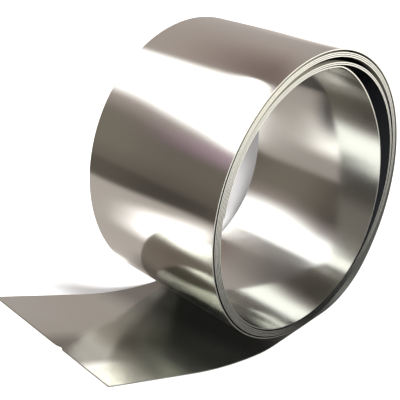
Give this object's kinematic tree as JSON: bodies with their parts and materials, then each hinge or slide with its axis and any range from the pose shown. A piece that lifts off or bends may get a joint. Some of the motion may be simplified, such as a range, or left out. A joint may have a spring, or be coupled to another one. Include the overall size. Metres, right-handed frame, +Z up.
{
  "type": "aluminium foil strip coil",
  "caption": "Spiral coil of bare aluminium foil strip, resting on its outer wrap, with its free end run out to one side.",
  "frame": {"origin": "on the floor, in the middle of the flat foot under the coil and of the strip's width", "axes": "+X along the foot away from the free end, +Y along the coil's axis across the strip, +Z up"},
  "size_m": [0.1164, 0.05, 0.0862],
  "materials": {
    "foil": "bright rolled, mirror-like with faint lines along the strip"
  },
  "bodies": {
    "root": {"foil_strip": "foil"}
  },
  "joints": []
}
